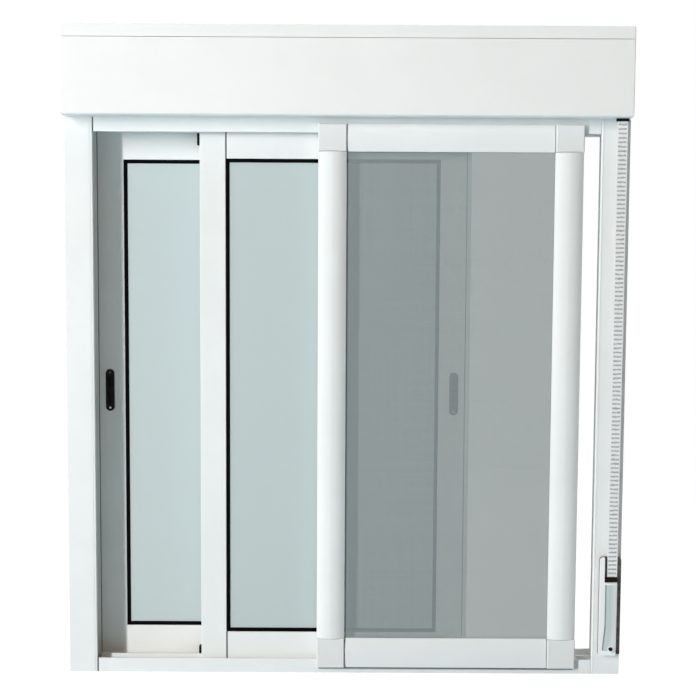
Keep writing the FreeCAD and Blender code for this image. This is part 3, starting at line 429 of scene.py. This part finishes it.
aluminium = coated("white_powder_coat", rgb(0.86, 0.875, 0.87), rgb(0.82, 0.835, 0.83),
                   rough=(0.30, 0.42), peel=POWDER_PEEL)
sheet_coat = coated("white_sheet_coat", rgb(0.905, 0.905, 0.895), rgb(0.88, 0.88, 0.87),
                    rough=(0.30, 0.40), peel=POWDER_PEEL)
plastic = coated("white_moulding", rgb(0.87, 0.87, 0.86), rgb(0.84, 0.84, 0.83),
                 rough=(0.36, 0.48), peel=MOULDED_PEEL)
corner = coated("corner_moulding", rgb(0.80, 0.81, 0.805), rgb(0.77, 0.78, 0.775),
                rough=(0.36, 0.48), peel=MOULDED_PEEL)
cover = coated("winder_moulding", rgb(0.95, 0.95, 0.95), rgb(0.91, 0.915, 0.92),
               rough=(0.30, 0.40), peel=MOULDED_PEEL)
rubber = rubber_material()
pile = pile_material()
black = black_plastic_material()
steel = dark_steel_material()
mill = bare_metal_material()
yarn = mesh_material()

by_slot = {
    "white_aluminium": aluminium,
    "white_plastic": plastic,
    "glass": glass_material(),
    "black_rubber": rubber,
    "black_plastic": black,
    "screen_mesh": yarn,
    "strap_webbing": strap_material(),
    "dark_steel": steel,
    "bare_aluminium": mill,
    "nylon": nylon_material(),
}
by_node = {"winder_cover": cover, "winder_lid": lid_material(), "screen_corners": corner}
by_node.update({name: sheet_coat for name in nodes if name.startswith("box_")})
for subpart in frame["record"]["subparts"]:
    node = nodes[subpart["node"]]
    node.data.materials.clear()
    node.data.materials.append(by_node.get(subpart["node"], by_slot[subpart["material_slot"]]))


# Pieces

def piece(name, mesh, body, material):
    """A finished mesh, given in the shared frame, as a piece that rides a body."""
    obj = bpy.data.objects.new(name, mesh)
    bpy.context.scene.collection.objects.link(obj)
    mesh.materials.append(material)
    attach(obj, body)
    return obj


def bmesh_piece(name, bm, body, material):
    mesh = bpy.data.meshes.new(name)
    bmesh.ops.recalc_face_normals(bm, faces=bm.faces)
    bm.to_mesh(mesh)
    bm.free()
    return piece(name, mesh, body, material)


def insect_mesh():
    """Woven mesh: a layer of upright yarns in front of a layer of level ones, in place of the solid sheet."""
    low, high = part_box("screen_mesh")
    front = (low.y + high.y) / 2 - MESH_LAYER
    back = (low.y + high.y) / 2 + MESH_LAYER
    half = MESH_PITCH * MESH_FILL / 2
    vertices = []
    faces = []

    def ribbon(x0, x1, y, z0, z1):
        faces.append(range(len(vertices), len(vertices) + 4))
        vertices.extend([(x0, y, z0), (x1, y, z0), (x1, y, z1), (x0, y, z1)])

    for i in range(round((high.x - low.x) / MESH_PITCH)):
        x = low.x + (i + 0.5) * MESH_PITCH
        ribbon(x - half, x + half, front, low.z, high.z)
    for i in range(round((high.z - low.z) / MESH_PITCH)):
        z = low.z + (i + 0.5) * MESH_PITCH
        ribbon(low.x, high.x, back, z - half, z + half)
    mesh = bpy.data.meshes.new("insect_mesh")
    mesh.from_pydata(vertices, [], faces)
    obj = piece("insect_mesh", mesh, "screen", yarn)
    # The yarn is drawn wider than real thread, so it casts no shadow.
    obj.visible_shadow = False
    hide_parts("screen_mesh")


def screw(name, place, radius, body, material):
    """Pan head that faces the room, seated on the face at its place."""
    bm = bmesh.new()
    loops = []
    for share, rise in SCREW_RINGS:
        loop = []
        for i in range(SCREW_STEPS):
            turn = 2 * math.pi * i / SCREW_STEPS
            x = place.x + share * radius * math.cos(turn)
            z = place.z + share * radius * math.sin(turn)
            loop.append(bm.verts.new((x, place.y - rise * radius, z)))
        loops.append(loop)
    for lower, upper in zip(loops, loops[1:]):
        for i in range(SCREW_STEPS):
            after = (i + 1) % SCREW_STEPS
            bm.faces.new((lower[i], lower[after], upper[after], upper[i]))
    bm.faces.new(loops[0])
    bm.faces.new(loops[-1])
    bmesh_piece(name, bm, body, material)


def latch_screws(sash):
    low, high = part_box(sash + "_latch")
    x = (low.x + high.x) / 2
    low_place = Vector((x, low.y, low.z + LATCH_SCREW_RISE))
    top_place = Vector((x, low.y, high.z - LATCH_SCREW_RISE))
    # The top screw is dark steel and the low one bare aluminium: the dark top screw is painted shade, as the
    # real screws are alike
    screw(sash + "_latch_screw_low", low_place, LATCH_SCREW_RADIUS, sash, mill)
    screw(sash + "_latch_screw_top", top_place, LATCH_SCREW_RADIUS, sash, steel)


def bevelled_block(low, high, bevel, bm=None):
    """Box between two corners with bevelled edges, added to a mesh."""
    bm = bm or bmesh.new()
    made = bmesh.ops.create_cube(bm, size=1.0)["verts"]
    for vertex in made:
        vertex.co = [(a + b) / 2 + c * (b - a) for a, b, c in zip(low, high, vertex.co)]
    edges = list({edge for vertex in made for edge in vertex.link_edges})
    bmesh.ops.bevel(bm, geom=edges, offset=bevel, segments=BEVEL_SEGMENTS, affect="EDGES",
                    clamp_overlap=True)
    return bm


def seal_strip(name, ends, depths, beside, body, material):
    """Strip between two x values and two depths behind a node's front, a fit shorter than the node."""
    low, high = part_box(beside)
    x0, x1 = sorted(ends)
    front, back = (low.y + depth for depth in depths)
    bm = bevelled_block((x0, front, low.z + PAD_FIT), (x1, back, high.z - PAD_FIT), PAD_FIT)
    bmesh_piece(name, bm, body, material)


def joint_pads(sash, side):
    """Black sealing pads in the joints between the rails and the meeting stile, just behind the face."""
    low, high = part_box(sash + "_meeting_stile")
    edge = high.x if side == RIGHT else low.x
    ends = (edge + side * PAD_FIT, edge + side * (MEETING_JOINT - PAD_FIT))
    for rail in (sash + "_top_rail", sash + "_bottom_rail"):
        seal_strip(rail + "_pad", ends, (PAD_BACK, PAD_DEPTH), rail, sash, rubber)


def lip_shade_strip(sash, side):
    """Fine dark brush strip in the step between the lock stile's raised lip and its recessed face, put there
    to paint the step's shadow line.
    """
    stile = sash + "_lock_stile"
    low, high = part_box(stile)
    step = high.x - STILE_LIP if side == RIGHT else low.x + STILE_LIP
    ends = (step, step - side * LIP_SHADE_STRIP)
    seal_strip(sash + "_lip_shade_strip", ends, (LIP_SHADE_STRIP_BACK, STILE_RECESS), stile, sash, pile)


def frame_joint_shading(track):
    """Thin fillers in the joints between the jambs and the sill or head: black at the left to paint the
    shadow there, white at the right to paint the lit joint over its gap's shade.
    """
    depths = (PAD_BACK, TRACK_LIP)
    filled = TRACK_JOINT - PAD_FIT
    left_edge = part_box("frame_left_jamb")[1].x
    right_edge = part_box("frame_right_jamb")[0].x
    left_ends = (left_edge, left_edge + filled)
    right_ends = (right_edge, right_edge - filled)
    seal_strip(track + "_left_shadow_fill", left_ends, depths, track, "frame", rubber)
    seal_strip(track + "_right_lit_fill", right_ends, depths, track, "frame", plastic)


def end_plug(name, z0):
    """Black plug on the front meeting stile that closes the gap to the rear sash."""
    low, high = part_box("front_sash_meeting_stile")
    z1 = z0 + PLUG_HEIGHT
    x0 = low.x - PLUG_PROUD
    bm = bevelled_block((x0, high.y - PLUG_GRIP, z0), (low.x, high.y, z1), PLUG_BEVEL)
    bevelled_block((x0, high.y, z0), (low.x + PLUG_WIDTH, high.y + PLUG_DEPTH, z1), PLUG_BEVEL, bm)
    bmesh_piece(name, bm, "front_sash", black)


def end_plugs():
    low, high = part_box("front_sash_meeting_stile")
    end_plug("front_sash_plug_low", low.z + PLUG_LOW_INSET)
    end_plug("front_sash_plug_top", high.z - PLUG_TOP_INSET - PLUG_HEIGHT)


def tuft(bm, x, y, top, drop, lean):
    """Square tuft that narrows to its tip, added to a mesh."""
    rings = []
    for middle, z, share in ((x, top, PILE_ROOT_SHARE), (x + lean, top - drop, PILE_TIP_SHARE)):
        half_width = share * PILE_PITCH
        half_depth = share * PILE_DEPTH
        rings.append([bm.verts.new((middle + a * half_width, y + b * half_depth, z)) for a, b in SQUARE])
    root, tip = rings
    bm.faces.new(tip)
    bm.faces.new(root[::-1])
    for i in range(len(SQUARE)):
        after = (i + 1) % len(SQUARE)
        bm.faces.new((root[i], root[after], tip[after], tip[i]))


def shade_pile():
    """Brush under the screen's bottom rail, whose dark fibre also paints the shadow under the rail onto the
    sill: a row of leaning tufts on a backing strip.
    """
    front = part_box("screen_bottom_rail")[0].y + PILE_SETBACK
    back = front + PILE_DEPTH
    low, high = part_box("screen_corners")
    x0 = low.x + PILE_END
    x1 = high.x - PILE_END
    bm = bevelled_block((x0, front, low.z - PILE_GRIP), (x1, back, low.z + PILE_GRIP), PILE_BEVEL)
    for i in range(round((x1 - x0) / PILE_PITCH)):
        x = x0 + (i + 0.5) * PILE_PITCH
        drop = PILE_LENGTH * (1 + PILE_UNEVEN * math.sin(PILE_UNEVEN_WAVE * i))
        lean = PILE_LEAN * math.sin(PILE_LEAN_WAVE * i)
        tuft(bm, x, (front + back) / 2, low.z, drop, lean)
    bmesh_piece("screen_pile_seal", bm, "screen", pile)


insect_mesh()
latch_screws("rear_sash")
latch_screws("front_sash")
joint_pads("rear_sash", LEFT)
joint_pads("front_sash", RIGHT)
# Dark strips that paint the shadow in each lock stile's step
lip_shade_strip("rear_sash", LEFT)
lip_shade_strip("front_sash", RIGHT)
# Joint fillers: black ones paint shadow in the left joints, white ones paint the right joints lit
frame_joint_shading("frame_sill")
frame_joint_shading("frame_head")
end_plugs()
# Brush whose dark fibre also paints the shadow under the screen's bottom rail
shade_pile()
screw("winder_screw", boss_middle(), WINDER_SCREW_RADIUS, "frame", black)


# Stage, light and camera

def seen_rays(tree):
    """1 for a ray from the camera, a mirror or glass, and 0 for light that bounces off dull faces."""
    path = tree.nodes.new("ShaderNodeLightPath")
    seen = path.outputs["Is Camera Ray"]
    for kind in ("Is Glossy Ray", "Is Transmission Ray"):
        either = tree.nodes.new("ShaderNodeMath")
        either.operation = "MAXIMUM"
        tree.links.new(seen, either.inputs[0])
        tree.links.new(path.outputs[kind], either.inputs[1])
        seen = either.outputs["Value"]
    return seen


def floor_material():
    """White with a faint shadow to the eye and in reflections, pale blue to the light it bounces back."""
    s = Shader("pale_floor")
    s.set(Base_Color=s.mix(s.noise(3.0), FLOOR_LIGHT, FLOOR_DARK), Roughness=0.9)
    from_middle = s.distance((0.0, 0.0, 0.0))
    glow = s.add("ShaderNodeEmission")
    s.feed(glow.inputs["Strength"], s.spread(from_middle, *FLOOR_FADE, FLOOR_GLOW, 1.0))
    shade = s.add("ShaderNodeBsdfDiffuse")
    s.feed(shade.inputs["Color"], s.spread(from_middle, *FLOOR_FADE, FLOOR_SHADE, 0.0))
    white = s.add("ShaderNodeAddShader")
    s.feed(white.inputs[0], glow.outputs["Emission"])
    s.feed(white.inputs[1], shade.outputs["BSDF"])
    s.blend(seen_rays(s.tree), s.principled.outputs["BSDF"], white.outputs["Shader"])
    return s.material


def floor():
    mesh = bpy.data.meshes.new("floor")
    mesh.from_pydata([(a * FLOOR_HALF, b * FLOOR_HALF, 0.0) for a, b in SQUARE], [], [(0, 1, 2, 3)])
    obj = bpy.data.objects.new("floor", mesh)
    obj.location.z = cad_low.z - FLOOR_GAP
    bpy.context.scene.collection.objects.link(obj)
    mesh.materials.append(floor_material())


def white_world():
    """White to the eye and in reflections, with a soft warm light that is stronger from the right."""
    world = bpy.data.worlds.new("studio")
    bpy.context.scene.world = world
    world.use_nodes = True
    tree = world.node_tree
    seen = tree.nodes["Background"]
    seen.inputs["Color"].default_value = rgb(1.0, 1.0, 1.0)
    split = tree.nodes.new("ShaderNodeSeparateXYZ")
    tree.links.new(tree.nodes.new("ShaderNodeTexCoord").outputs["Generated"], split.inputs["Vector"])
    across = tree.nodes.new("ShaderNodeMapRange")
    across.inputs["From Min"].default_value = -WORLD_TURN
    across.inputs["From Max"].default_value = WORLD_TURN
    tree.links.new(split.outputs["X"], across.inputs["Value"])
    sides = tree.nodes.new("ShaderNodeValToRGB")
    sides.color_ramp.elements[0].color = WORLD_LEFT
    sides.color_ramp.elements[1].color = WORLD_RIGHT
    tree.links.new(across.outputs["Result"], sides.inputs["Fac"])
    light = tree.nodes.new("ShaderNodeBackground")
    light.inputs["Strength"].default_value = WORLD_LIGHT
    tree.links.new(sides.outputs["Color"], light.inputs["Color"])
    blend = tree.nodes.new("ShaderNodeMixShader")
    tree.links.new(seen_rays(tree), blend.inputs["Fac"])
    tree.links.new(light.outputs["Background"], blend.inputs[1])
    tree.links.new(seen.outputs["Background"], blend.inputs[2])
    tree.links.new(blend.outputs["Shader"], tree.nodes["World Output"].inputs["Surface"])


def area_lamp(name, place, target, size, watts, colour):
    """Soft box that isn't seen itself, nor mirrored, where it would turn the pale coat white."""
    lamp = bpy.data.lights.new(name, "AREA")
    lamp.shape = "RECTANGLE"
    lamp.size = size[0]
    lamp.size_y = size[1]
    lamp.energy = watts
    lamp.color = colour
    obj = bpy.data.objects.new(name, lamp)
    obj.location = place
    obj.rotation_euler = (Vector(target) - Vector(place)).to_track_quat("-Z", "Y").to_euler()
    obj.visible_glossy = False
    obj.visible_camera = False
    bpy.context.scene.collection.objects.link(obj)


def lamps():
    area_lamp("key", place=(-4.9, -5.2, 2.7), target=(0.0, 0.0, 0.6), size=(0.45, 3.6),
              watts=416.0, colour=(0.99, 0.975, 0.955))
    area_lamp("key_low", place=(-2.45, -2.6, 0.87), target=(0.0, 0.0, 0.7), size=(0.23, 1.0),
              watts=24.0, colour=(1.0, 0.98, 1.0))
    area_lamp("back", place=(1.2, 6.6, 3.0), target=(0.1, 0.0, 0.6), size=(3.0, 2.0),
              watts=300.0, colour=(1.0, 0.99, 0.97))
    area_lamp("side", place=(6.2, 2.6, 2.4), target=(0.3, 0.0, 0.7), size=(2.0, 2.0),
              watts=150.0, colour=(1.0, 0.99, 0.97))
    area_lamp("top", place=(0.0, 0.0, 2.3), target=(0.0, 0.0, cad_high.z), size=(1.4, 0.6),
              watts=5.5, colour=(0.94, 0.98, 1.0))


def camera():
    """The photo's viewpoint, found from the frame's edges in it."""
    yaw, pitch, roll = (math.radians(a) for a in (CAMERA_YAW, CAMERA_PITCH, CAMERA_ROLL))
    forward = Vector((math.sin(yaw) * math.cos(pitch), math.cos(yaw) * math.cos(pitch), math.sin(pitch)))
    level = Vector((math.cos(yaw), -math.sin(yaw), 0.0))
    above = level.cross(forward)
    right = math.cos(roll) * level + math.sin(roll) * above
    up = math.cos(roll) * above - math.sin(roll) * level
    data = bpy.data.cameras.new("camera")
    data.lens = CAMERA_LENS
    data.sensor_width = CAMERA_SENSOR
    obj = bpy.data.objects.new("camera", data)
    turn = Matrix((right, up, -forward)).transposed().to_4x4()
    obj.matrix_world = Matrix.Translation(CAMERA_PLACE) @ turn
    bpy.context.scene.collection.objects.link(obj)
    bpy.context.scene.camera = obj


floor()
white_world()
lamps()
camera()
bpy.context.scene.view_settings.view_transform = "Standard"
